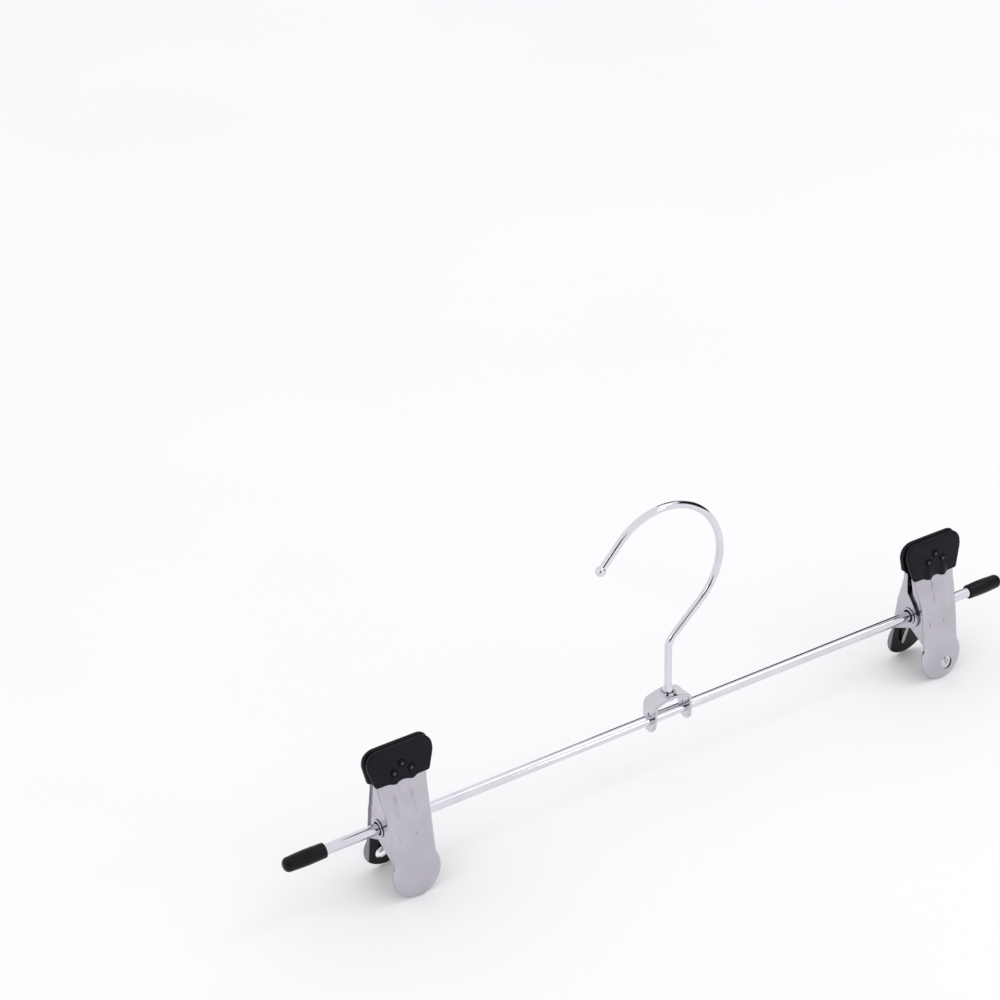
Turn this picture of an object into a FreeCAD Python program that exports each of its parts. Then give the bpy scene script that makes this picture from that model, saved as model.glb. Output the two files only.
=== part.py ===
"""Skirt hanger: a chromed crossbar with two sprung sheet-metal clips and a swivel hook on a saddle.

Millimetres, +Z up, +X along the crossbar.  The origin is under the middle of the bar, on the
surface that the four handle ends of the two clips stand on.
"""
import FreeCAD
import Part
import math
import os
from FreeCAD import Vector

# Crossbar and end caps
bar_span = 300.0            # tip to tip over both end caps
rod_dia = 3.7
cap_dia = 5.6               # at its fullest
cap_mouth_dia = 5.2
cap_nose_dia = 4.9
cap_length = 15.0
cap_full_length = 7.0       # from the mouth to where it is fullest
cap_end_wall = 1.2
cap_nose_round = 2.0
cap_barrel_round = 60.0
cap_mouth_round = 0.35

# Saddle bracket, a bent strap that straddles the rod
saddle_sheet = 1.0
saddle_width = 7.0          # along Y, at the bridge
saddle_toe_width = 5.4      # along Y, at the rounded leg ends
saddle_crown = 9.2          # where the bridge's two slopes would meet, above the rod axis
saddle_shoulder = 6.7
saddle_shoulder_half = 7.5
saddle_toe_half = 8.0       # the legs splay a little
saddle_toe_drop = 4.4       # leg ends below the rod axis
saddle_crown_round = 14.0
saddle_shoulder_round = 2.2
saddle_taper_start = 2.0    # below this height the legs narrow
saddle_toe_round = 2.6
relief_dia = 1.4            # notch over each rod hole
relief_rise = 2.1
boss_dia = 5.6              # raised seat of the hook on the bridge
boss_top_dia = 4.6
boss_height = 0.6

# Hook of round wire
hook_wire_dia = 2.6
hook_top = 82.0             # highest point of the wire's centre line above the rod axis
hook_radius = 23.6
hook_bend_rise = 28.8
hook_bend_radius = 6.0
hook_slant_deg = 42.7       # rise of the slanted run from the horizontal
hook_runout_deg = 137.0     # where the arc ends, counted from +X
hook_runout_length = 11.1
bead_dia = 3.7
flare_dia = 3.8             # foot of the shank where it sits on the saddle
flare_rim = 0.7
flare_height = 2.8
hook_seat_gap = 0.15
hook_hole_clearance = 0.3   # radial
rivet_dia = 4.8
rivet_height = 1.3
rivet_round = 0.6
rivet_seat_gap = 0.4

# Clip halves
left_clip_inset = 43.2      # middle of the left clip from the bar's tip
right_clip_inset = 34.7
sheet = 0.7
jaw_tip_rise = 30.0         # jaw tip above the pivot axis
root_rise = 15.0            # where the jaw bends out below its pad
root_depth = 3.6            # outer face from the closing plane, at that bend
knee_rise = 5.0
knee_depth = 7.2
foot_drop = 24.3            # foot of the handle below the pivot axis, before its edge is rounded
foot_depth = 11.3           # outer face at that foot
root_bend = 8.0
knee_bend = 16.0
edge_bend = 1.5             # outer radius between face and side flange
shoulder_rise = 24.6        # the jaw is widest from here up
shoulder_round = 5.0
blade_low_rise = 17.4       # the jaw's slanted sides end here
neck_rise = 6.0             # the sides run straight from here down to the handle disc
neck_round = 14.0
jaw_corner_round = 3.4
root_half = 9.45            # half widths under the slanted sides and at the neck
neck_half = 8.1
ear_side_gap = 0.2          # between nested ears, each side
disc_radius = 9.3
waist_round = 1.6
ear_radius = 4.7
ear_hole_clearance = 0.25   # radial, round the pivot tube
slit_top_half = 0.35        # half of the slit between the two halves' flanges, under the pads
slit_low_half = 1.0
slit_low_rise = 9.6
flange_end_drop = 10.0      # where the flange runs out into the handle
tip_hole_dia = 5.0          # hole in the inner half's handle for the spring's hooked end
tip_hole_x = 1.9
tip_hole_drop = 18.3

# Ribs pressed into the face of each clip half
rib_offset = 3.2
rib_half_width = 2.7
rib_height = 0.75
rib_tuck = 0.03             # how far a rib's edges start inside the sheet
rib_sink = 0.25             # depth of its root below those edges
rib_top_rise = 21.6
rib_end_drop = 2.0
rib_section_count = 11
rib_point_count = 13
rib_rise_share = 0.18       # share of its length in which a rib rises under the pad
rib_fall_share = 0.45       # share of its length in which it fades out
rib_fade_share = 0.6        # share of its width left at its ends

# Vinyl jaw pads
grip_gap = 0.3              # between the two closed pads
pad_wall = 0.55
pad_half = 12.1
pad_corner_round = 4.2
outer_mouth_rise = 18.0     # the pad of the half with the outer ears is the shorter one
inner_mouth_rise = 16.0
pad_mouth_round = 1.2
pad_lip = 0.4               # pad wall beside the jaw at its mouth
pad_edge_round = 0.7
pad_swell_count = 4
nub_radius = 1.25
nub_height = 0.6
nub_side = 3.2
outer_nub_rise = 21.7       # the lower two nubs
inner_nub_rise = 22.3
nub_step = 2.6              # the third nub above them

# Pivot tube, a hollow rivet that slides on the rod and carries both halves
tube_bore_dia = 4.7
tube_wall = 0.3
rim_dia = 6.4
rim_thickness = 0.35
rim_round = 0.15
rim_roll = 0.25             # rounding from the bore into the rim
rim_gap = 0.15

# Torsion spring
spring_wire_dia = 1.3
spring_mean_radius = 3.65
spring_pitch = 1.84
spring_turn_count = 2       # whole turns, besides the part turn between the legs
spring_bend_radius = 1.6
spring_rest_gap = 0.15      # leg to the handle it bears on
spring_tip_proud = 0.9      # hooked end past the handle's outer face
spring_point_pitch = 0.4    # spacing of the points its least gap is measured on

overrun = 2.0               # how far cutting bodies pass what they cut
parallel_share = 0.999      # cosine above which two directions count as parallel
full_turn_deg = 360
axis_x = Vector(1, 0, 0)
axis_y = Vector(0, 1, 0)
axis_z = Vector(0, 0, 1)
origin = Vector(0, 0, 0)

rod_radius = rod_dia / 2
left_clip_x = left_clip_inset - bar_span / 2
right_clip_x = bar_span / 2 - right_clip_inset
blade_half = pad_half - pad_wall
ear_inset = sheet + ear_side_gap
tube_radius = tube_bore_dia / 2 + tube_wall
tip_depth = grip_gap / 2 + pad_wall + sheet
clip_half = pad_half + overrun
clip_depth = foot_depth + overrun
disc_rise = disc_radius - foot_drop
bridge_slope = math.atan2(saddle_crown - saddle_shoulder, saddle_shoulder_half)
bridge_top = saddle_crown - saddle_crown_round * (1 / math.cos(bridge_slope) - 1)


def corner_edges(points, radii):
    """Line and arc edges of a closed outline whose corners are rounded."""
    count = len(points)
    ends = []
    for i, corner in enumerate(points):
        before = (points[i - 1] - corner).normalize()
        after = (points[(i + 1) % count] - corner).normalize()
        half = before.getAngle(after) / 2
        back = radii[i] / math.tan(half)
        middle = (before + after).normalize()
        top = corner + middle * (radii[i] / math.sin(half) - radii[i])
        ends.append((corner + before * back, top, corner + after * back))
    edges = []
    for i, (start, top, end) in enumerate(ends):
        if radii[i] > 0:
            edges.append(Part.Arc(start, top, end).toShape())
        edges.append(Part.LineSegment(end, ends[(i + 1) % count][0]).toShape())
    return edges


def outline_face(points, radii):
    """Flat face inside a closed outline with rounded corners."""
    return Part.Face(Part.Wire(Part.__sortEdges__(corner_edges(points, radii))))


def mirrored(points, radii):
    """Outline closed by its own mirror image in the plane x = 0."""
    other = [Vector(-p.x, p.y, p.z) for p in reversed(points)]
    return points + other, radii + radii[::-1]


def solid_of(shape):
    """The one solid of a boolean result, with its seams merged."""
    return shape.removeSplitter().Solids[0]


def offset_line(points, depth, normal):
    """Open line moved sideways in the plane with that normal, mitred at its corners."""
    sides = [normal.cross((b - a).normalize()) for a, b in zip(points, points[1:])]
    moved = [points[0] + sides[0] * depth]
    for corner, first, second in zip(points[1:], sides, sides[1:]):
        mitre = (first + second).normalize()
        moved.append(corner + mitre * (depth / mitre.dot(first)))
    moved.append(points[-1] + sides[-1] * depth)
    return moved


def arc_by_corner(start, corner, end):
    """Arc that is tangent to both legs of a corner with equal legs."""
    middle = (start + end) / 2
    rise = corner - middle
    half_chord = (end - start).Length / 2
    sagitta = half_chord * math.tan(math.atan2(rise.Length, half_chord) / 2)
    return Part.Arc(start, middle + rise.normalize() * sagitta, end).toShape()


def biarc(start, start_run, end, end_run):
    """Two arcs that join two points and leave and reach them in the given directions."""
    gap = end - start
    along = gap.dot(start_run + end_run)
    bend = 2 * (1 - start_run.dot(end_run))
    reach = (math.sqrt(along ** 2 + bend * gap.dot(gap)) - along) / bend
    first = start + start_run * reach
    second = end - end_run * reach
    joint = (first + second) / 2
    return [arc_by_corner(start, first, joint), arc_by_corner(joint, second, end)]


def round_wire(edges, start, run, radius):
    """Solid round wire along a line of edges that begins at a point in a direction."""
    section = Part.Wire(Part.Circle(start, run, radius).toShape())
    return Part.Wire(edges).makePipeShell([section], True, False)


def crossbar_rod():
    """Straight rod, stopped short of the cap tips by their end walls."""
    length = bar_span - 2 * cap_end_wall
    return Part.makeCylinder(rod_radius, length, Vector(-length / 2, 0, 0), axis_x)


def end_cap():
    """Round-nosed, slightly barrelled sleeve pushed on the right end of the rod."""
    tip = bar_span / 2
    mouth = tip - cap_length
    bore_end = tip - cap_end_wall
    half = [
        Vector(bore_end, 0, 0),
        Vector(bore_end, 0, rod_radius),
        Vector(mouth, 0, rod_radius),
        Vector(mouth, 0, cap_mouth_dia / 2),
        Vector(mouth + cap_full_length, 0, cap_dia / 2),
        Vector(tip, 0, cap_nose_dia / 2),
        Vector(tip, 0, 0),
    ]
    radii = [0, 0, 0, cap_mouth_round, cap_barrel_round, cap_nose_round, 0]
    return outline_face(half, radii).revolve(origin, axis_x, full_turn_deg)


def saddle_bracket():
    """Arched strap with rounded, splayed legs that the rod passes through."""
    outer = [
        Vector(-saddle_toe_half, 0, -saddle_toe_drop),
        Vector(-saddle_shoulder_half, 0, saddle_shoulder),
        Vector(0, 0, saddle_crown),
        Vector(saddle_shoulder_half, 0, saddle_shoulder),
        Vector(saddle_toe_half, 0, -saddle_toe_drop),
    ]
    inner = offset_line(outer, saddle_sheet, axis_y)
    rounds = [0, saddle_shoulder_round, saddle_crown_round, saddle_shoulder_round, 0]
    inner_rounds = [max(r - saddle_sheet, 0) for r in rounds]
    strap = outline_face(outer + inner[::-1], rounds + inner_rounds)
    strap = strap.extrude(axis_y * saddle_width)
    strap.translate(axis_y * (-saddle_width / 2))
    far = saddle_toe_half + overrun
    top = saddle_crown + overrun
    leg = [
        Vector(-far, saddle_width / 2, top),
        Vector(-far, saddle_width / 2, saddle_taper_start),
        Vector(-far, saddle_toe_width / 2, -saddle_toe_drop),
        Vector(-far, -saddle_toe_width / 2, -saddle_toe_drop),
        Vector(-far, -saddle_width / 2, saddle_taper_start),
        Vector(-far, -saddle_width / 2, top),
    ]
    rounds = [0, saddle_toe_round, saddle_toe_round, saddle_toe_round, saddle_toe_round, 0]
    strap = strap.common(outline_face(leg, rounds).extrude(axis_x * (2 * far)))
    seat = Vector(0, 0, bridge_top - saddle_sheet / 2)
    boss_base = boss_height + saddle_sheet / 2
    strap = strap.fuse(Part.makeCone(boss_dia / 2, boss_top_dia / 2, boss_base, seat))
    rod_start = Vector(-far, 0, 0)
    strap = strap.cut(Part.makeCylinder(rod_radius, 2 * far, rod_start, axis_x))
    notch_start = rod_start + axis_z * relief_rise
    strap = strap.cut(Part.makeCylinder(relief_dia / 2, 2 * far, notch_start, axis_x))
    hole = hook_wire_dia / 2 + hook_hole_clearance
    strap = strap.cut(Part.makeCylinder(hole, saddle_crown, Vector(0, 0, rod_radius)))
    return solid_of(strap)


def hook():
    """Bent wire hook with a bead at its tip, a flared foot and a riveted head under the bridge."""
    slant = math.radians(hook_slant_deg)
    run_out = math.radians(hook_runout_deg)
    wire_radius = hook_wire_dia / 2
    centre_rise = hook_top - hook_radius
    lean = centre_rise - hook_bend_rise - hook_radius / math.cos(slant)
    centre = Vector(lean / math.tan(slant), 0, centre_rise)
    slant_run = Vector(math.cos(slant), 0, math.sin(slant))

    def on_arc(angle):
        return centre + Vector(math.cos(angle), 0, math.sin(angle)) * hook_radius

    head_top = bridge_top - saddle_sheet - rivet_seat_gap
    foot = Vector(0, 0, head_top - rivet_height / 2)
    corner = Vector(0, 0, hook_bend_rise)
    back = hook_bend_radius * math.tan((math.pi / 2 - slant) / 2)
    bend_start = corner - axis_z * back
    bend_end = corner + slant_run * back
    arc_start = slant - math.pi / 2
    tip_start = on_arc(run_out)
    tip_run = Vector(-math.sin(run_out), 0, math.cos(run_out))
    tip = tip_start + tip_run * hook_runout_length
    edges = [
        Part.LineSegment(foot, bend_start).toShape(),
        arc_by_corner(bend_start, corner, bend_end),
        Part.LineSegment(bend_end, on_arc(arc_start)).toShape(),
        Part.Arc(on_arc(arc_start), on_arc((arc_start + run_out) / 2), tip_start).toShape(),
        Part.LineSegment(tip_start, tip).toShape(),
    ]
    wire = round_wire(edges, foot, axis_z, wire_radius)
    wire = wire.fuse(Part.makeSphere(bead_dia / 2, tip))
    seat = Vector(0, 0, bridge_top + boss_height + hook_seat_gap)
    wire = wire.fuse(Part.makeCylinder(flare_dia / 2, flare_rim, seat))
    cone_height = flare_height - flare_rim
    cone_seat = seat + axis_z * flare_rim
    wire = wire.fuse(Part.makeCone(flare_dia / 2, wire_radius, cone_height, cone_seat))
    head_seat = Vector(0, 0, head_top - rivet_height)
    head = Part.makeCylinder(rivet_dia / 2, rivet_height, head_seat)
    low = [e for e in head.Edges if abs(e.CenterOfMass.z - head_seat.z) < rivet_round]
    return solid_of(wire.fuse(head.makeFillet(rivet_round, low)))


def face_line():
    """Outer face of a clip half in side view, from above its tip to below its foot."""
    tip = Vector(0, -tip_depth, jaw_tip_rise)
    root = Vector(0, -root_depth, root_rise)
    knee = Vector(0, -knee_depth, knee_rise)
    foot = Vector(0, -foot_depth, -foot_drop)
    above = tip + (tip - root).normalize() * overrun
    below = foot + (foot - knee).normalize() * overrun
    return [above, root, knee, below]


def face_depth(rise, inward=0):
    """Distance from the closing plane, at a height, of the face moved inwards."""
    line = offset_line(face_line(), inward, axis_x)
    for a, b in zip(line, line[1:]):
        if rise >= b.z:
            break
    return -(a.y + (b.y - a.y) * (a.z - rise) / (a.z - b.z))


def side_block(inward):
    """Everything behind the face moved inwards, as a block across the clip."""
    line = offset_line(face_line(), inward, axis_x)
    points = line + [Vector(0, clip_depth, line[-1].z), Vector(0, clip_depth, line[0].z)]
    radii = [0, root_bend + inward, knee_bend - inward, 0, 0, 0]
    block = outline_face(points, radii).extrude(axis_x * (2 * clip_half))
    block.translate(axis_x * -clip_half)
    return block


def half_width(rise):
    """Half width of a clip half at a height between its neck and its shoulder."""
    line = ((shoulder_rise, blade_half), (blade_low_rise, root_half), (neck_rise, neck_half))
    for (top, wide), (low, narrow) in zip(line, line[1:]):
        if rise >= low:
            break
    return wide + (narrow - wide) * (top - rise) / (top - low)


def front_block(inset):
    """Front outline of a clip half, taken in by an inset, as a block through its depth."""
    blade = [
        Vector(blade_half - inset, -clip_depth, jaw_tip_rise - inset),
        Vector(blade_half - inset, -clip_depth, shoulder_rise),
        Vector(root_half - inset, -clip_depth, blade_low_rise),
        Vector(neck_half - inset, -clip_depth, neck_rise),
        Vector(neck_half - inset, -clip_depth, disc_rise),
    ]
    radii = [jaw_corner_round - inset, shoulder_round, shoulder_round, neck_round, 0]
    return outline_face(*mirrored(blade, radii)).extrude(axis_y * (2 * clip_depth))


def whole_front():
    """Front outline with the round handle disc, blended at the waist."""
    disc = Part.makeCylinder(disc_radius, 2 * clip_depth, Vector(0, -clip_depth, disc_rise), axis_y)
    block = solid_of(front_block(0).fuse(disc))
    waist_rise = disc_rise + math.sqrt(disc_radius ** 2 - neck_half ** 2)
    waist = []
    for edge in block.Edges:
        middle = edge.CenterOfMass
        at_waist = abs(middle.z - waist_rise) < sheet and abs(abs(middle.x) - neck_half) < sheet
        if at_waist and abs(middle.y) < sheet:
            waist.append(edge)
    return block.makeFillet(waist_round, waist)


def rounded_front(block, inward, radius, low):
    """Block with a bend radius along the edges of its face, down to a height."""
    picked = []
    for edge in block.Edges:
        middle = edge.CenterOfMass
        near_face = abs(middle.y + face_depth(middle.z, inward)) < sheet
        if near_face and middle.z > low and abs(middle.x) > neck_half / 2:
            picked.append(edge)
    return block.makeFillet(radius, picked)


def tangent_point(outside, radius, side):
    """Where a tangent from a point in side view touches a circle round the pivot axis."""
    reach = math.hypot(outside.y, outside.z)
    angle = math.atan2(outside.z, outside.y) + side * math.acos(radius / reach)
    return Vector(outside.x, radius * math.cos(angle), radius * math.sin(angle))


def flange_block(mouth_rise):
    """Side view of a flange with its round ear, as a block across the clip."""
    slit_top = Vector(-clip_half, -slit_top_half, mouth_rise)
    slit_low = Vector(-clip_half, -slit_low_half, slit_low_rise)
    run_out = Vector(-clip_half, -face_depth(-flange_end_drop), -flange_end_drop)
    low_front = Vector(-clip_half, -clip_depth, -flange_end_drop)
    top_front = Vector(-clip_half, -clip_depth, mouth_rise)
    ear_top = tangent_point(slit_low, ear_radius, -1)
    ear_low = tangent_point(run_out, ear_radius, 1)
    ear_far = Vector(-clip_half, ear_radius, 0)
    edges = [Part.Arc(ear_top, ear_far, ear_low).toShape()]
    line = [ear_low, run_out, low_front, top_front, slit_top, slit_low, ear_top]
    for a, b in zip(line, line[1:]):
        edges.append(Part.LineSegment(a, b).toShape())
    face = Part.Face(Part.Wire(Part.__sortEdges__(edges)))
    return face.extrude(axis_x * (2 * clip_half))


def rib_size(rise):
    """Half width and height of a pressed rib at a height; its ends dip below the face."""
    along = (rib_top_rise - rise) / (rib_top_rise + rib_end_drop)
    ramp = min(along / rib_rise_share, (1 - along) / rib_fall_share, 1)
    swell = math.sin(max(ramp, 0) * math.pi / 2) ** 2
    half = rib_half_width * (rib_fade_share + (1 - rib_fade_share) * swell)
    return half, (rib_height + rib_tuck / 2) * swell - rib_tuck / 2


def rib_loft(x, rises, inward, wider):
    """Soft-edged swelling of the face, or of the face moved inwards, through a row of heights."""
    sections = []
    for rise in rises:
        half, height = rib_size(rise)
        middle = Vector(x, rib_tuck - face_depth(rise, inward), rise)
        points = []
        for i in range(rib_point_count):
            across = 2 * i / (rib_point_count - 1) - 1
            bell = math.cos(across * math.pi / 2) ** 4
            side = axis_x * (across * (half + wider))
            points.append(middle + side - axis_y * (bell * (height + rib_tuck)))
        curve = Part.BSplineCurve()
        curve.interpolate(points)
        root = [points[-1], points[-1] + axis_y * rib_sink, points[0] + axis_y * rib_sink, points[0]]
        edges = [curve.toShape()]
        for a, b in zip(root, root[1:]):
            edges.append(Part.LineSegment(a, b).toShape())
        sections.append(Part.Wire(edges))
    return Part.makeLoft(sections, True, False)


def spaced(top, low, count):
    """Evenly spaced heights from top to low."""
    return [top - (top - low) * i / (count - 1) for i in range(count)]


def jaw(mouth_rise, inset, has_tip_hole):
    """One sheet-metal clip half, facing -Y: jaw, flanges with ears, ribs and handle disc."""
    envelope = solid_of(whole_front().common(side_block(0)))
    envelope = rounded_front(envelope, 0, edge_bend, -flange_end_drop)
    hollow = solid_of(front_block(inset + sheet).common(side_block(sheet)))
    hollow = rounded_front(hollow, sheet, edge_bend - sheet, -flange_end_drop)
    skin = envelope.cut(side_block(sheet))
    walls = envelope
    if inset > 0:
        walls = walls.common(front_block(inset))
    walls = walls.cut(hollow).common(flange_block(mouth_rise))
    body = skin.fuse(walls)
    rises = spaced(rib_top_rise, -rib_end_drop, rib_section_count)
    for side in (-1, 1):
        body = body.fuse(rib_loft(side * rib_offset, rises, 0, 0))
        body = body.cut(rib_loft(side * rib_offset, rises, sheet, 0))
    ear_hole = tube_radius + ear_hole_clearance
    start = Vector(-clip_half, 0, 0)
    body = body.cut(Part.makeCylinder(ear_hole, 2 * clip_half, start, axis_x))
    if has_tip_hole:
        start = Vector(tip_hole_x, -clip_depth, -tip_hole_drop)
        body = body.cut(Part.makeCylinder(tip_hole_dia / 2, clip_depth, start, axis_y))
    return solid_of(body)


def pad(metal, mouth_rise, nub_rise):
    """Vinyl boot moulded over a jaw, with nubs on its face and swellings over the ribs."""
    outline = [
        Vector(pad_half, -clip_depth, jaw_tip_rise + pad_wall),
        Vector(pad_half, -clip_depth, shoulder_rise),
        Vector(half_width(mouth_rise) + pad_lip, -clip_depth, mouth_rise),
    ]
    radii = [pad_corner_round, shoulder_round, pad_mouth_round]
    boot = outline_face(*mirrored(outline, radii)).extrude(axis_y * (2 * clip_depth))
    boot = boot.common(side_block(-pad_wall).cut(side_block(sheet + pad_wall)))
    boot = solid_of(boot)
    rims = []
    for edge in boot.Edges:
        chord = (edge.Vertexes[-1].Point - edge.Vertexes[0].Point).normalize()
        if abs(chord.y) < parallel_share:
            rims.append(edge)
    boot = boot.makeFillet(pad_edge_round, rims)
    rises = spaced(rib_top_rise, mouth_rise, pad_swell_count)
    for side in (-1, 1):
        boot = boot.fuse(rib_loft(side * rib_offset, rises, -pad_wall, pad_wall))
    for x, rise in ((-nub_side, nub_rise), (nub_side, nub_rise), (0, nub_rise + nub_step)):
        sunk = nub_radius - nub_height - face_depth(rise, -pad_wall)
        boot = boot.fuse(Part.makeSphere(nub_radius, Vector(x, sunk, rise)))
    return solid_of(boot.cut(metal))


def pivot_tube():
    """Hollow rivet through all four ears, rolled over outside them."""
    seat = neck_half + rim_gap
    end = seat + rim_thickness
    half = [
        Vector(end, 0, tube_bore_dia / 2),
        Vector(end, 0, rim_dia / 2),
        Vector(seat, 0, rim_dia / 2),
        Vector(seat, 0, tube_radius),
    ]
    radii = [rim_roll, rim_round, rim_round, 0]
    return outline_face(*mirrored(half, radii)).revolve(origin, axis_x, full_turn_deg)


def torsion_spring():
    """Coil round the pivot tube with a free leg and a leg hooked through the inner handle."""
    inset = spring_wire_dia / 2 + spring_rest_gap
    corner = Vector(0, face_depth(-tip_hole_drop, sheet) - inset, -tip_hole_drop)
    touch = tangent_point(corner, spring_mean_radius, 1)
    start_angle = math.atan2(touch.z, touch.y)
    sweep = math.pi - 2 * start_angle + spring_turn_count * 2 * math.pi
    length = spring_pitch * sweep / (2 * math.pi)
    lead = spring_pitch / (2 * math.pi * spring_mean_radius)
    steps = 4 * spring_turn_count + 2

    def station(i):
        angle = start_angle + sweep * i / steps
        place = Vector(0, math.cos(angle), math.sin(angle)) * spring_mean_radius
        place += axis_x * (length * (2 * i - steps) / (2 * steps))
        run = Vector(0, -math.sin(angle), math.cos(angle))
        if 0 < i < steps:
            run = (run + axis_x * lead).normalize()
        return place, run

    coil_start, leg_run = station(0)
    coil_end, _ = station(steps)
    corner += axis_x * coil_start.x
    face_run = (face_line()[-1] - face_line()[-2]).normalize()
    tip_run = Vector(0, -face_run.z, -face_run.y)
    tip = corner + tip_run * (inset + sheet + spring_tip_proud)
    turn = tip_run.getAngle(leg_run)
    back = spring_bend_radius / math.tan(turn / 2)
    bend_start = corner + tip_run * back
    bend_end = corner + leg_run * back
    edges = [
        Part.LineSegment(tip, bend_start).toShape(),
        arc_by_corner(bend_start, corner, bend_end),
        Part.LineSegment(bend_end, coil_start).toShape(),
    ]
    for i in range(steps):
        edges += biarc(*station(i), *station(i + 1))
    free_end = Vector(coil_end.x, -corner.y, corner.z)
    edges.append(Part.LineSegment(coil_end, free_end).toShape())
    print("spring: least gap between turns %.2f mm" % least_gap(Part.Wire(edges)))
    return round_wire(edges, tip, tip_run * -1, spring_wire_dia / 2)


def least_gap(path):
    """Least clear distance between parts of the spring wire over half a turn apart."""
    count = int(path.Length / spring_point_pitch)
    points = path.discretize(count)
    apart = int(count * math.pi * spring_mean_radius / path.Length)
    least = path.Length
    for i in range(count):
        for j in range(i + apart, count):
            least = min(least, points[i].distanceToPoint(points[j]))
    return least - spring_wire_dia


def turned(shape):
    """The shape turned half way round the upright axis."""
    half_round = shape.copy()
    half_round.rotate(origin, axis_z, full_turn_deg / 2)
    return half_round


def clip():
    """All pieces of a clip with its outer half in front, round its own pivot axis."""
    outer = jaw(outer_mouth_rise, 0, False)
    inner = jaw(inner_mouth_rise, ear_inset, True)
    return {
        "pivot_tube": pivot_tube(),
        "outer_jaw": outer,
        "outer_pad": pad(outer, outer_mouth_rise, outer_nub_rise),
        "inner_jaw": turned(inner),
        "inner_pad": turned(pad(inner, inner_mouth_rise, inner_nub_rise)),
        "spring": torsion_spring(),
    }


def hanger():
    """Every piece of the hanger by node name, with the rod axis at height zero."""
    pieces = {
        "crossbar_rod": crossbar_rod(),
        "left_end_cap": turned(end_cap()),
        "right_end_cap": end_cap(),
        "saddle_bracket": saddle_bracket(),
        "hook": hook(),
    }
    for name, shape in clip().items():
        left = shape.copy()
        left.translate(axis_x * left_clip_x)
        pieces["left_" + name] = left
        right = turned(shape)
        right.translate(axis_x * right_clip_x)
        pieces["right_" + name] = right
    return pieces


os.makedirs("parts", exist_ok=True)
nodes = hanger()
axis_height = -min(shape.optimalBoundingBox(False).ZMin for shape in nodes.values())
print("rod axis %.3f mm above the handle ends" % axis_height)
for node, shape in nodes.items():
    shape.translate(axis_z * axis_height)
    shape.exportStep("parts/%s.step" % node)
    print("%s: %d solid, %.1f mm3" % (node, len(shape.Solids), shape.Volume))
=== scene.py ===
"""Skirt hanger on a white floor: plated metal, vinyl pads, wound springs, soft studio light."""

import math

import bpy
from mathutils import Matrix, Vector


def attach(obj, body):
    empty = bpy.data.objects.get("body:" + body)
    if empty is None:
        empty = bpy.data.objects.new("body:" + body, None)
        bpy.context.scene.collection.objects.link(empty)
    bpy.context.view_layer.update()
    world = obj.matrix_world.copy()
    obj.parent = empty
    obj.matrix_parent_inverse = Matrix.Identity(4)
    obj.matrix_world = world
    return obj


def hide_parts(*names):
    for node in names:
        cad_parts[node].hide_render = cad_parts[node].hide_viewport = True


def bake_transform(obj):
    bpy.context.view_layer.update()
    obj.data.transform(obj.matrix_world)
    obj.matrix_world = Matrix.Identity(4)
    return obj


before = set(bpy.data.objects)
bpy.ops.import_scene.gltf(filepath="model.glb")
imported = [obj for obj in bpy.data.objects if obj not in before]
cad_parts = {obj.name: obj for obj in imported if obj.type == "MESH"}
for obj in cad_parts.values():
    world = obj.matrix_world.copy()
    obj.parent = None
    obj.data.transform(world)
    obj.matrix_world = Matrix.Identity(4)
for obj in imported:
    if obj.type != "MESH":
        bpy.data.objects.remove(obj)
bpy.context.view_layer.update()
MM = 0.001

# Clips, as in the solids: millimetres, with heights and depths from the pivot axis
AXIS_HEIGHT = 23.946
CLIP_X = {"left": -106.8, "right": 115.3}
HALVES = ("outer", "inner")
SHEET = 0.7
FACE_TOP = (1.4, 30.0)  # bends of the outer face: depth, height
FACE_ROOT = (3.6, 15.0)
FACE_KNEE = (7.2, 5.0)
FACE_FOOT = (11.3, -24.3)
HANDLE_SLOPE = (FACE_FOOT[0] - FACE_KNEE[0]) / (FACE_KNEE[1] - FACE_FOOT[1])

# Pressed ribs of the faces
RIB_X = 3.2
RIB_HALF = 2.7
RIB_TOP = 21.6
RIB_RAMP = 4.25
RIB_HEIGHT = 0.75
RIB_START_WIDTH = 0.6  # share of the full width where a rib starts
RIB_END = (-3.0, 1.4)  # heights between which the ribs have run out
RIB_END_DEPTH = 0.45
RIB_END_STEEP = 0.5

# Pads
PAD_WALL = 0.55
PAD_THICK = SHEET + 2 * PAD_WALL
PAD_HALF = 12.1
PAD_TOP = 30.55
PAD_SHOULDER = 24.6
PAD_MOUTH = {"outer": (10.03, 18.0), "inner": (9.70, 16.2)}  # half width, height
TOP_ROUND, SHOULDER_ROUND, MOUTH_ROUND = 4.2, 5.0, 1.2
MOUTH_WAVE = {"outer": 0.4, "inner": 0.75}
MOUTH_WAVE_HALF = 3.0
MOUTH_LEVEL = 0.01  # rim points this little above the mouth still belong to it
PAD_EDGE = 0.8
PAD_CROWN = 0.12
PAD_STEP = 0.27
BACK_RINGS, EDGE_RINGS, FRONT_RINGS = 20, 6, 56

# Nubs of the pads; the reaches of moat, painted tip highlight and matt ring are shares of the nub's
# radius
NUB_SIDE = 3.2
NUB_RISE = {"outer": 21.7, "inner": 22.3}
NUB_STEP = 2.6
NUB_RADIUS = 1.1
NUB_HEIGHT = 0.6
MOAT_DEPTH = 0.1
MOAT_REACH, MOAT_HALF = 1.25, 0.35
TIP_HIGHLIGHT_REACH = 0.62
MATT_RING_REACH, MATT_RING_HALF = 1.1, 0.5

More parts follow.
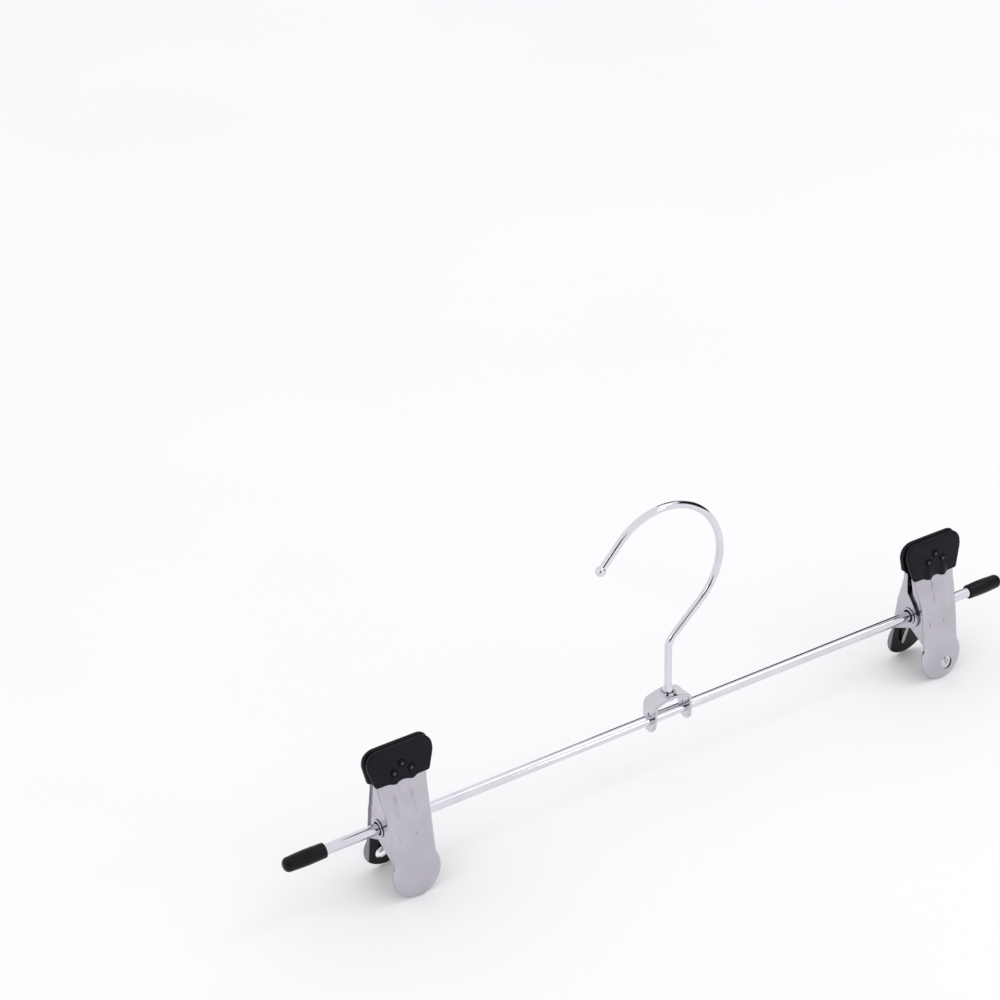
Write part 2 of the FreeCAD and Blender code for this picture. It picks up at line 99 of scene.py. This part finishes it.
# Torsion springs
SPRING_WIRE = 1.3
SPRING_RADIUS = 3.65
SPRING_PITCH = 1.84
SPRING_TURNS = 2
SPRING_BEND = 1.6
SPRING_REST_GAP = 0.15
SPRING_PROUD = 0.9
HOLE_DROP = 18.3
COIL_STEPS, BEND_STEPS, LEG_STEPS = 120, 8, 12
WIRE_SIDES = 14
WIRE_END_SHARE = 0.75  # softened ends: share of the radius, and length in radii
WIRE_END_LENGTH = 0.3

# Tones, each pair from dark to light
ROD_TONES = ((0.68, 0.665, 0.72), (0.76, 0.75, 0.80))
SADDLE_TONES = ((0.60, 0.585, 0.63), (0.66, 0.645, 0.69))
SHEET_TONES = ((0.49, 0.465, 0.515), (0.55, 0.525, 0.58))
# near-white tones painted on the rib-end walls to cancel their shade
RIB_END_LIGHT_TONES = ((0.92, 0.89, 0.95), (0.96, 0.93, 0.98))
TUBE_TONES = ((0.46, 0.44, 0.48), (0.54, 0.52, 0.56))
SPRING_TONES = ((0.55, 0.53, 0.54), (0.68, 0.66, 0.67))
PAD_TONES = ((0.0055, 0.005, 0.0080), (0.0085, 0.0078, 0.0115))
CAP_TONES = ((0.0035, 0.0035, 0.004), (0.006, 0.006, 0.007))
FLOOR_TONES = ((0.94, 0.94, 0.945), (0.955, 0.955, 0.96))
FLAG_TONES = ((0.004, 0.004, 0.004), (0.008, 0.008, 0.008))
# painted shade for sheet edges and creases
EDGE_SHADE_TONE = (0.14, 0.135, 0.145)
# painted shade for the hollow of a clip half
HOLLOW_SHADE_TONE = (0.040, 0.036, 0.039)
# lighter tone painted on the nub tips as a highlight
NUB_HIGHLIGHT_TONE = (0.12, 0.115, 0.125)

# Noise layers of the materials: scale per metre, detail
TONE_DRIFT = (90.0, 3.0)
POLISH_HAZE = (420.0, 4.0)
SHEET_SWELL = (130.0, 1.0)
FINE_SCRATCH = (900.0, 3.0)
VINYL_BLOOM = (160.0, 5.0)
VINYL_GLOSS = (240.0, 4.0)
VINYL_LUMPS = (300.0, 1.0)
VINYL_SKIN = (1500.0, 2.0)
FLOOR_MOTTLE = (6.0, 2.0)
FLAG_WEAVE = (300.0, 2.0)
NOISE_LOW, NOISE_HIGH = 0.3, 0.7
ALONG_ROD = (0.05, 1.0, 1.0)

# Surface detail, in metres
SWELL_DEPTH = 0.0004
SCRATCH_DEPTH = 0.00004
SCRATCH_STRENGTH = 0.12
LUMP_DEPTH = 0.0003
SKIN_DEPTH = 0.00005
BEVEL_SAMPLES = 6
EDGE_SHADE_RADIUS = 0.00045
EDGE_SHADE_SHARE = 0.8
EDGE_SHADE_PARTING = (0.97, 0.82)  # cosines between which the painted edge shade sets in
HOLLOW_FACING = (-0.0008, -0.0028)
HOLLOW_HALF = (0.0071, 0.0067)
MATT_SPECULAR = 0.02

# Studio, in metres and watts
FLOOR_SIZE = 8.0
FLAGS = (  # name, place, size
    ("right_flag", (1.250, 0.011, 0.525), (1.78, 1.05)),
    ("back_flag", (0.860, 1.229, 0.525), (0.42, 1.05)),
    ("high_flag", (1.007, 0.973, 0.990), (0.34, 0.55)),
    ("near_flag", (-0.892, -1.026, 0.635), (0.94, 1.01)),
)
SOFTBOXES = (  # name, place, target, size, power
    ("key_box", (0.70, -0.25, 1.2), (0.0, 0.0, 0.0), (0.35, 0.42), 1.2),
    ("left_box", (-1.3, -0.5, 0.9), (0.0, 0.0, 0.05), (0.4, 0.4), 0.7),
    ("front_box", (0.55, -1.0, 0.45), (0.0, 0.0, 0.04), (0.12, 0.12), 0.35),
)
SKY_TONE = (0.985, 0.985, 1.0)
SKY_LIGHT = 0.99
SKY_SEEN = 0.98

# Camera where the photograph was taken from
EYE = (-0.45114, -0.61293, 0.54994)
YAW, PITCH, ROLL = (math.radians(a) for a in (32.18, 30.12, -1.46))
SENSOR_WIDTH = 36.0
LENS = 96.9


class Nodes:
    """Helpers that add nodes to the tree of a material or a world."""

    def __init__(self, tree):
        self.tree = tree

    def feed(self, socket, value):
        """Link an output to a socket, or set the socket to a value."""
        if isinstance(value, bpy.types.NodeSocket):
            self.tree.links.new(value, socket)
        else:
            socket.default_value = value

    def give(self, node, values):
        """Fill a node's inputs and settings by name."""
        for key, value in values.items():
            if key in node.inputs:
                self.feed(node.inputs[key], value)
            else:
                setattr(node, key, value)
        return node

    def add(self, kind, **values):
        """New node with inputs and settings by name."""
        return self.give(self.tree.nodes.new(kind), values)

    def combine(self, kind, operation, *values):
        """New maths node with its inputs in order."""
        node = self.add(kind, operation=operation)
        for socket, value in zip(node.inputs, values):
            self.feed(socket, value)
        return node

    def number(self, operation, *values):
        """Result of a maths node."""
        return self.combine("ShaderNodeMath", operation, *values).outputs["Value"]

    def vector(self, operation, *values):
        """Vector from a vector maths node."""
        return self.combine("ShaderNodeVectorMath", operation, *values).outputs["Vector"]

    def dot(self, *values):
        """Dot product of two vectors."""
        return self.combine("ShaderNodeVectorMath", "DOT_PRODUCT", *values).outputs["Value"]

    def noise(self, scale, detail, stretch=None):
        """Noise in object space, optionally stretched."""
        place = self.add("ShaderNodeTexCoord").outputs["Object"]
        if stretch:
            place = self.add("ShaderNodeMapping", Vector=place, Scale=stretch).outputs["Vector"]
        texture = self.add("ShaderNodeTexNoise", Vector=place, Scale=scale, Detail=detail)
        return texture.outputs["Fac"]

    def ramp(self, source, low, high, start=NOISE_LOW, end=NOISE_HIGH):
        """Value mapped to a range of values."""
        limits = {"From Min": start, "From Max": end, "To Min": low, "To Max": high}
        return self.add("ShaderNodeMapRange", Value=source, **limits).outputs["Result"]

    def mix(self, share, first, second):
        """Colour between two colours, each a tone or an output."""
        node = self.add("ShaderNodeMix", data_type="RGBA", Factor=share)
        sockets = [s for s in node.inputs if s.type == "RGBA"]
        for socket, colour in zip(sockets, (first, second)):
            self.feed(socket, (*colour, 1) if isinstance(colour, tuple) else colour)
        return [s for s in node.outputs if s.type == "RGBA"][0]

    def mottled(self, layer, tones):
        """Colour that drifts between two tones by a noise layer."""
        return self.mix(self.ramp(self.noise(*layer), 0.0, 1.0), *tones)

    def soft_normal(self, radius):
        """Normal with edges softened by a radius."""
        bevel = self.add("ShaderNodeBevel", samples=BEVEL_SAMPLES, Radius=radius)
        return bevel.outputs["Normal"]

    def bumps(self, layers, normal=None):
        """Normal after stacked bump layers of (height, depth, strength)."""
        for height, depth, strength in layers:
            node = self.add("ShaderNodeBump", Height=height, Distance=depth, Strength=strength)
            if normal:
                self.feed(node.inputs["Normal"], normal)
            normal = node.outputs["Normal"]
        return normal


def new_material(name):
    """Material, helpers for its nodes, and its Principled shader."""
    material = bpy.data.materials.new(name)
    material.use_nodes = True
    tree = material.node_tree
    return material, Nodes(tree), tree.nodes["Principled BSDF"]


def painted_edge_shade(nodes, colour):
    """Painted shade on the sheared edges and creases of a sheet: a greyer tone where softened and
    plain normals part.
    """
    plain = nodes.add("ShaderNodeNewGeometry").outputs["Normal"]
    parting = nodes.dot(nodes.soft_normal(EDGE_SHADE_RADIUS), plain)
    share = nodes.ramp(parting, 0.0, EDGE_SHADE_SHARE, *EDGE_SHADE_PARTING)
    return nodes.mix(share, colour, EDGE_SHADE_TONE)


def painted_hollow_shade(nodes, colour, middle_x):
    """Painted shade in the hollow of a clip half: a dark tone on surfaces that face its middle."""
    place = nodes.add("ShaderNodeTexCoord").outputs
    away = nodes.vector("SUBTRACT", place["Object"], (middle_x, 0, 0))
    facing = nodes.dot(nodes.vector("MULTIPLY", away, (1, 1, 0)), place["Normal"])
    across = nodes.add("ShaderNodeSeparateXYZ", Vector=away).outputs["X"]
    inward = nodes.ramp(facing, 0.0, 1.0, *HOLLOW_FACING)
    within = nodes.ramp(nodes.number("ABSOLUTE", across), 0.0, 1.0, *HOLLOW_HALF)
    return nodes.mix(nodes.number("MULTIPLY", inward, within), colour, HOLLOW_SHADE_TONE)


def plated_metal(name, tones, rough, wave, edge=None, grain=None, hollow_x=None, metallic=1.0):
    """Bright plating: faint tone drift, polishing haze, slight waviness and fine scratches."""
    material, nodes, shader = new_material(name)
    colour = nodes.mottled(TONE_DRIFT, tones)
    # painted shade along sheet edges and creases
    if edge:
        colour = painted_edge_shade(nodes, colour)
    # painted shade in the hollow of a clip half
    if hollow_x is not None:
        colour = painted_hollow_shade(nodes, colour, hollow_x)
    layers = (
        (nodes.noise(*SHEET_SWELL), SWELL_DEPTH, wave),
        (nodes.noise(*FINE_SCRATCH, grain), SCRATCH_DEPTH, SCRATCH_STRENGTH),
    )
    nodes.give(shader, {
        "Metallic": metallic,
        "Base Color": colour,
        "Roughness": nodes.ramp(nodes.noise(*POLISH_HAZE), *rough),
        "Normal": nodes.bumps(layers, nodes.soft_normal(edge) if edge else None),
    })
    return material


def vinyl(name, tones, rough, peel, specular):
    """Dip-moulded vinyl: faint bloom, nub tips painted lighter as a highlight, matt rings round
    them, uneven gloss and orange-peel skin.
    """
    material, nodes, shader = new_material(name)
    nub_highlight = nodes.add("ShaderNodeAttribute", attribute_name="nub_highlight").outputs["Fac"]
    # nub tips painted lighter as a highlight
    highlit = nodes.ramp(nub_highlight, 0.0, 1.0, start=0.0, end=1.0)
    layers = (
        (nodes.noise(*VINYL_LUMPS), LUMP_DEPTH, peel),
        (nodes.noise(*VINYL_SKIN), SKIN_DEPTH, peel),
    )
    nodes.give(shader, {
        "Base Color": nodes.mix(highlit, nodes.mottled(VINYL_BLOOM, tones), NUB_HIGHLIGHT_TONE),
        "Roughness": nodes.ramp(nodes.noise(*VINYL_GLOSS), *rough),
        "Specular IOR Level": nodes.ramp(nub_highlight, MATT_SPECULAR, specular, start=-1.0, end=0.0),
        "Normal": nodes.bumps(layers),
    })
    return material


def floor_material():
    """Smooth white board."""
    material, nodes, shader = new_material("floor_board")
    colour = nodes.mottled(FLOOR_MOTTLE, FLOOR_TONES)
    nodes.give(shader, {"Base Color": colour, "Roughness": 0.8, "Specular IOR Level": 0.1})
    return material


def flag_material():
    """Black cloth of the studio flags."""
    material, nodes, shader = new_material("flag_cloth")
    nodes.give(shader, {"Base Color": nodes.mottled(FLAG_WEAVE, FLAG_TONES), "Roughness": 1.0})
    return material


rod_metal = plated_metal("rod_plating", ROD_TONES, rough=(0.05, 0.10), wave=0.02, grain=ALONG_ROD)
hook_metal = plated_metal("hook_plating", ROD_TONES, rough=(0.04, 0.09), wave=0.02)
# the saddle gets painted shade along its edges
saddle_metal = plated_metal(
    "saddle_plating", SADDLE_TONES, rough=(0.10, 0.18), wave=0.15, edge=0.00025)
# painted light: a pale matt finish that lifts the shaded walls where the ribs run out
rib_end_light_paint = plated_metal(
    "rib_end_painted_light", RIB_END_LIGHT_TONES, rough=(0.5, 0.6), wave=0.02, metallic=0.0)
tube_metal = plated_metal("tube_plating", TUBE_TONES, rough=(0.12, 0.20), wave=0.05)
spring_metal = plated_metal("spring_wire", SPRING_TONES, rough=(0.12, 0.22), wave=0.04)
pad_vinyl = vinyl("pad_vinyl", PAD_TONES, rough=(0.30, 0.42), peel=0.08, specular=0.13)
cap_vinyl = vinyl("cap_vinyl", CAP_TONES, rough=(0.15, 0.23), peel=0.05, specular=0.16)

finishes = {
    "crossbar_rod": rod_metal,
    "left_end_cap": cap_vinyl,
    "right_end_cap": cap_vinyl,
    "saddle_bracket": saddle_metal,
    "hook": hook_metal,
}
for side, middle_x in CLIP_X.items():
    # the jaws carry painted shade in the hollow of each clip half
    jaw_metal = plated_metal(
        side + "_jaw_plating", SHEET_TONES, rough=(0.13, 0.20), wave=0.08, edge=0.0002,
        hollow_x=middle_x * MM)
    finishes[side + "_pivot_tube"] = tube_metal
    for half in HALVES:
        finishes["%s_%s_jaw" % (side, half)] = jaw_metal
for node, material in finishes.items():
    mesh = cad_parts[node].data
    mesh.materials.clear()
    mesh.materials.append(material)


def handle_depth(rise):
    """Outer metal face from the closing plane at a height below the knee."""
    return FACE_KNEE[0] + HANDLE_SLOPE * (FACE_KNEE[1] - rise)


def fade_rib_ends(mesh, middle_x):
    """Even shading of a clip half's face where its pressed ribs have run out into it: flat normals
    there, and painted light on its steep walls.
    """

    def face_normal(place):
        """Normal of the face at a point past a rib's end, or nothing elsewhere."""
        rise = place.z / MM - AXIS_HEIGHT
        on_face = abs(abs(place.y) / MM - handle_depth(rise)) < RIB_END_DEPTH
        under_rib = abs(place.x / MM - middle_x) < RIB_X + RIB_HALF
        if on_face and under_rib and RIB_END[0] < rise < RIB_END[1]:
            return Vector((0, math.copysign(1, place.y), HANDLE_SLOPE)).normalized()

    normals = [corner.vector.copy() for corner in mesh.corner_normals]
    for loop in mesh.loops:
        flat = face_normal(mesh.vertices[loop.vertex_index].co)
        normals[loop.index] = flat or normals[loop.index]
    # steep walls there get the pale painted-light material
    for polygon in mesh.polygons:
        if face_normal(polygon.center) and abs(polygon.normal.x) > RIB_END_STEEP:
            polygon.material_index = 1
    mesh.normals_split_custom_set(normals)


for side, middle_x in CLIP_X.items():
    for half in HALVES:
        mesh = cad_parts["%s_%s_jaw" % (side, half)].data
        mesh.materials.append(rib_end_light_paint)
        fade_rib_ends(mesh, middle_x)


def clip_matrix(side, turned):
    """Place of a clip piece drawn round its pivot axis in millimetres."""
    turn = Matrix.Rotation(math.pi if turned else 0, 4, "Z")
    shift = Matrix.Translation((CLIP_X[side] * MM, 0, AXIS_HEIGHT * MM))
    return shift @ turn @ Matrix.Scale(MM, 4)


def new_object(name, data):
    """Object in the scene."""
    obj = bpy.data.objects.new(name, data)
    bpy.context.scene.collection.objects.link(obj)
    return obj


def new_piece(name, points, faces, matrix, material, slot, nub_highlight=None):
    """Smooth mesh object at its place in the frame."""
    mesh = bpy.data.meshes.new(name)
    mesh.from_pydata([matrix @ Vector(p) for p in points], [], faces)
    mesh.update()
    mesh.shade_smooth()
    mesh.materials.append(material)
    if nub_highlight:
        mesh.attributes.new("nub_highlight", "FLOAT", "POINT").data.foreach_set("value", nub_highlight)
    piece = new_object(name, mesh)
    return piece


def rounded_outline(corners, radii, step):
    """Points about a step apart along a closed outline with rounded corners."""
    ends = []
    for i, corner in enumerate(corners):
        before = (corners[i - 1] - corner).normalized()
        after = (corners[(i + 1) % len(corners)] - corner).normalized()
        half = before.angle(after) / 2
        back = radii[i] / math.tan(half)
        centre = corner + (before + after).normalized() * (radii[i] / math.sin(half))
        ends.append((corner + before * back, centre, corner + after * back))
    points = []
    for i, (start, centre, end) in enumerate(ends):
        spoke = start - centre
        sweep = spoke.angle_signed(end - centre)
        count = max(2, round(abs(sweep) * radii[i] / step))
        for k in range(count):
            points.append(centre + Matrix.Rotation(-sweep * k / count, 2) @ spoke)
        following = ends[(i + 1) % len(ends)][0]
        count = max(1, round((following - end).length / step))
        points += [end.lerp(following, k / count) for k in range(count)]
    return points


def ring_faces(rings, count):
    """Quads between successive closed rings of points."""
    faces = []
    for ring in range(rings - 1):
        first, second = ring * count, (ring + 1) * count
        for i in range(count):
            j = (i + 1) % count
            faces.append((first + i, first + j, second + j, second + i))
    return faces


def bell(share):
    """Smooth hump that falls from one in its middle to zero at its edge."""
    return math.cos(min(abs(share), 1.0) * math.pi / 2) ** 2


def face_depth(rise):
    """Outer metal face from the closing plane at a height under the pad."""
    share = (FACE_TOP[1] - rise) / (FACE_TOP[1] - FACE_ROOT[1])
    return FACE_TOP[0] + (FACE_ROOT[0] - FACE_TOP[0]) * share


def nub_reaches(x, rise, nub_rise):
    """Distances from a pad's nubs, as shares of their radius."""
    nubs = ((-NUB_SIDE, nub_rise), (NUB_SIDE, nub_rise), (0.0, nub_rise + NUB_STEP))
    return [math.hypot(x - nub_x, rise - height) / NUB_RADIUS for nub_x, height in nubs]


def pad_nub_highlight(x, rise, nub_rise):
    """One on the nub tips, where a highlight is painted, minus one in the matt rings round them."""
    away = min(nub_reaches(x, rise, nub_rise))
    return bell(away / TIP_HIGHLIGHT_REACH) - bell((away - MATT_RING_REACH) / MATT_RING_HALF)


def pad_swelling(x, rise, nub_rise):
    """How far a pad's outer skin stands proud: crown, nubs, and ribs above the mouth."""
    crown = PAD_CROWN * max(0.0, 1 - (x / PAD_HALF) ** 2)
    swell = 1 - bell((RIB_TOP - rise) / RIB_RAMP) if rise < RIB_TOP else 0.0
    width_share = RIB_START_WIDTH + (1 - RIB_START_WIDTH) * swell
    rib_half = RIB_HALF * width_share + PAD_WALL
    rib = RIB_HEIGHT * swell * bell((abs(x) - RIB_X) / rib_half) ** 2
    nub = 0.0
    for away in nub_reaches(x, rise, nub_rise):
        dome = NUB_HEIGHT * math.sqrt(max(0.0, 1 - away ** 2))
        moat = MOAT_DEPTH * bell((away - MOAT_REACH) / MOAT_HALF)
        nub += dome - moat
    return crown + rib + nub


def pad_skin(place, back, half):
    """Point of a pad's skin, from its front at zero to its back at one, and the painted nub
    highlight there.
    """
    front = 1 - back
    depth = face_depth(place.y) + PAD_WALL - PAD_THICK * back
    depth += pad_swelling(place.x, place.y, NUB_RISE[half]) * front ** 2
    return (place.x, -depth, place.y), pad_nub_highlight(place.x, place.y, NUB_RISE[half]) * front


def pad_outline(half):
    """Rim of a pad, with waves over the ribs along its mouth."""
    mouth_half, mouth_rise = PAD_MOUTH[half]
    corners = [Vector(p) for p in (
        (-PAD_HALF, PAD_TOP), (-PAD_HALF, PAD_SHOULDER), (-mouth_half, mouth_rise),
        (mouth_half, mouth_rise), (PAD_HALF, PAD_SHOULDER), (PAD_HALF, PAD_TOP),
    )]
    radii = (TOP_ROUND, SHOULDER_ROUND, MOUTH_ROUND, MOUTH_ROUND, SHOULDER_ROUND, TOP_ROUND)
    outline = rounded_outline(corners, radii, PAD_STEP)
    for rim in outline:
        if rim.y < mouth_rise + MOUTH_LEVEL:
            rim.y -= MOUTH_WAVE[half] * bell((abs(rim.x) - RIB_X) / MOUTH_WAVE_HALF)
    return outline


def pad_rings():
    """Rings of a pad: share of the way to the edge, share of the edge, and nearness to the back."""
    edge = PAD_EDGE / PAD_THICK
    turns = [math.pi / 2 * k / EDGE_RINGS for k in range(EDGE_RINGS + 1)]
    rings = [(k / BACK_RINGS, 0.0, 1.0) for k in range(1, BACK_RINGS)]
    rings += [(1.0, math.sin(turn), 1 - edge * (1 - math.cos(turn))) for turn in turns]
    rings += [(1.0, math.cos(turn), edge * (1 - math.sin(turn))) for turn in turns]
    rings += [(k / FRONT_RINGS, 0.0, 0.0) for k in range(FRONT_RINGS - 1, 0, -1)]
    return rings


def pad_mesh(half):
    """Closed boot: rings from the middle of the back, round the edge, to the front's middle."""
    outline, rings = pad_outline(half), pad_rings()
    count = len(outline)
    middle = Vector((0, (PAD_TOP + PAD_MOUTH[half][1]) / 2))
    skin = []
    for share, out, back in rings:
        for i, rim in enumerate(outline):
            along = (outline[(i + 1) % count] - outline[i - 1]).normalized()
            edge = rim + Vector((-along.y, along.x)) * PAD_EDGE
            place = middle + (edge - middle) * share + (rim - edge) * out
            skin.append(pad_skin(place, back, half))
    faces = ring_faces(len(rings), count)
    for ring, back in ((0, 1), (len(rings) - 1, 0)):
        hub = len(skin)
        skin.append(pad_skin(middle, back, half))
        for i in range(count):
            a, b = ring * count + i, ring * count + (i + 1) % count
            faces.append((hub, b, a) if back else (hub, a, b))
    points, nub_highlight = zip(*skin)
    return points, faces, nub_highlight


def coil_points(start, sweep, length):
    """Coil from an angle over a sweep, with its pitch eased in and out over a quarter turn."""
    ease = math.pi / 2 / sweep
    points = []
    for k in range(COIL_STEPS + 1):
        t = k / COIL_STEPS
        ramp_in = min(t, ease) ** 2 / (2 * ease) + max(0.0, t - ease)
        ramp_out = max(0.0, t - 1 + ease) ** 2 / (2 * ease)
        x = length * ((ramp_in - ramp_out) / (1 - ease) - 0.5)
        angle = start + sweep * t
        points.append(Vector((x, SPRING_RADIUS * math.cos(angle), SPRING_RADIUS * math.sin(angle))))
    return points


def spring_line():
    """Points along the wire (hooked end, leg at +Y, coil, free leg) and the coil's length."""
    inner_face = handle_depth(-HOLE_DROP) - SHEET / math.cos(math.atan(HANDLE_SLOPE))
    inset = SPRING_WIRE / 2 + SPRING_REST_GAP
    corner = Vector((0, inner_face - inset, -HOLE_DROP))
    start = math.atan2(corner.z, corner.y) + math.acos(SPRING_RADIUS / corner.length)
    sweep = math.pi - 2 * start + SPRING_TURNS * 2 * math.pi
    length = SPRING_PITCH * sweep / (2 * math.pi)
    coil = coil_points(start, sweep, length)
    corner.x = coil[0].x
    leg = (coil[0] - corner).normalized()
    tip = Vector((0, 1.0, HANDLE_SLOPE)).normalized()
    half = tip.angle(leg) / 2
    back = SPRING_BEND / math.tan(half)
    centre = corner + (tip + leg).normalized() * (SPRING_BEND / math.sin(half))
    bend_start, bend_end = corner + tip * back, corner + leg * back
    line = [corner + tip * (inset + SHEET + SPRING_PROUD), bend_start]
    for k in range(1, BEND_STEPS + 1):
        line.append(centre + (bend_start - centre).slerp(bend_end - centre, k / BEND_STEPS))
    line += [bend_end.lerp(coil[0], k / LEG_STEPS) for k in range(1, LEG_STEPS)] + coil
    free = Vector((coil[-1].x, -corner.y, corner.z))
    line += [coil[-1].lerp(free, k / LEG_STEPS) for k in range(1, LEG_STEPS + 1)]
    return line, length


def wire_mesh(line, radius):
    """Closed round wire with softened ends along a line of points."""
    last = len(line) - 1
    runs = [(line[min(i + 1, last)] - line[max(i - 1, 0)]).normalized() for i in range(last + 1)]
    soft = radius * WIRE_END_LENGTH
    first_full, last_full = line[0] + runs[0] * soft, line[-1] - runs[-1] * soft
    places = [line[0], first_full, *line[1:-1], last_full, line[-1]]
    shares = [WIRE_END_SHARE] + [1.0] * len(line) + [WIRE_END_SHARE]
    across = runs[0].orthogonal().normalized()
    points = []
    for place, run, share in zip(places, [runs[0], *runs, runs[-1]], shares):
        across = (across - run * across.dot(run)).normalized()
        up = run.cross(across)
        for k in range(WIRE_SIDES):
            turn = 2 * math.pi * k / WIRE_SIDES
            spoke = across * math.cos(turn) + up * math.sin(turn)
            points.append(place + spoke * radius * share)
    faces = ring_faces(len(places), WIRE_SIDES)
    faces.append(tuple(reversed(range(WIRE_SIDES))))
    faces.append(tuple(range(len(points) - WIRE_SIDES, len(points))))
    return points, faces


coil_line, coil_length = spring_line()
wire_form = wire_mesh(coil_line, SPRING_WIRE / 2)
pad_forms = {half: pad_mesh(half) for half in HALVES}
for side, turned in (("left", False), ("right", True)):
    for half in HALVES:
        name = "%s_%s_boot" % (side, half)
        place = clip_matrix(side, turned != (half == "inner"))
        points, faces, nub_highlight = pad_forms[half]
        boot = new_piece(name, points, faces, place, pad_vinyl, "pad_vinyl", nub_highlight)
        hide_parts("%s_%s_pad" % (side, half))
        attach(boot, "%s_%s" % (side, half))
    place = clip_matrix(side, turned)
    coil = new_piece(side + "_coil", *wire_form, place, spring_metal, "spring_steel")
    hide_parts(side + "_spring")
    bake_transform(coil)


def plane(name, size, material):
    """Square stage plane round the origin."""
    half = size / 2
    corners = [(-half, -half, 0), (half, -half, 0), (half, half, 0), (-half, half, 0)]
    mesh = bpy.data.meshes.new(name)
    mesh.from_pydata(corners, [], [(0, 1, 2, 3)])
    mesh.materials.append(material)
    obj = new_object(name, mesh)
    return obj


def face_towards(obj, place, target):
    """Stand an object at a place with its -Z side towards a target."""
    obj.location = place
    turn = (Vector(target) - Vector(place)).to_track_quat("-Z", "Y")
    obj.rotation_euler = turn.to_euler()


plane("floor", FLOOR_SIZE, floor_material())
flag_cloth = flag_material()
for name, place, size in FLAGS:
    flag = plane(name, 1.0, flag_cloth)
    flag.scale = (*size, 1.0)
    face_towards(flag, place, (0.0, 0.0, place[2]))
    flag.visible_camera = False
    flag.visible_shadow = False
    flag.visible_diffuse = False

for name, place, target, size, power in SOFTBOXES:
    lamp = bpy.data.lights.new(name, "AREA")
    lamp.shape = "RECTANGLE"
    lamp.size, lamp.size_y = size
    lamp.energy = power
    face_towards(new_object(name, lamp), place, target)

world = bpy.data.worlds.new("studio")
world.use_nodes = True
sky = Nodes(world.node_tree)
rays = sky.add("ShaderNodeLightPath").outputs
seen = sky.number("ADD", rays["Is Camera Ray"], rays["Is Glossy Ray"])
seen = sky.number("ADD", seen, rays["Is Transmission Ray"])
sky.give(world.node_tree.nodes["Background"], {
    "Color": (*SKY_TONE, 1),
    "Strength": sky.ramp(seen, SKY_LIGHT, SKY_SEEN, start=0.0, end=1.0),
})
bpy.context.scene.world = world
bpy.context.scene.view_settings.view_transform = "Standard"

optics = bpy.data.cameras.new("camera")
optics.sensor_width = SENSOR_WIDTH
optics.lens = LENS
camera = new_object("camera", optics)
yaw = Matrix.Rotation(-YAW, 4, "Z")
pitch = Matrix.Rotation(math.pi / 2 - PITCH, 4, "X")
roll = Matrix.Rotation(ROLL, 4, "Z")
camera.matrix_world = Matrix.Translation(EYE) @ yaw @ pitch @ roll
bpy.context.scene.camera = camera
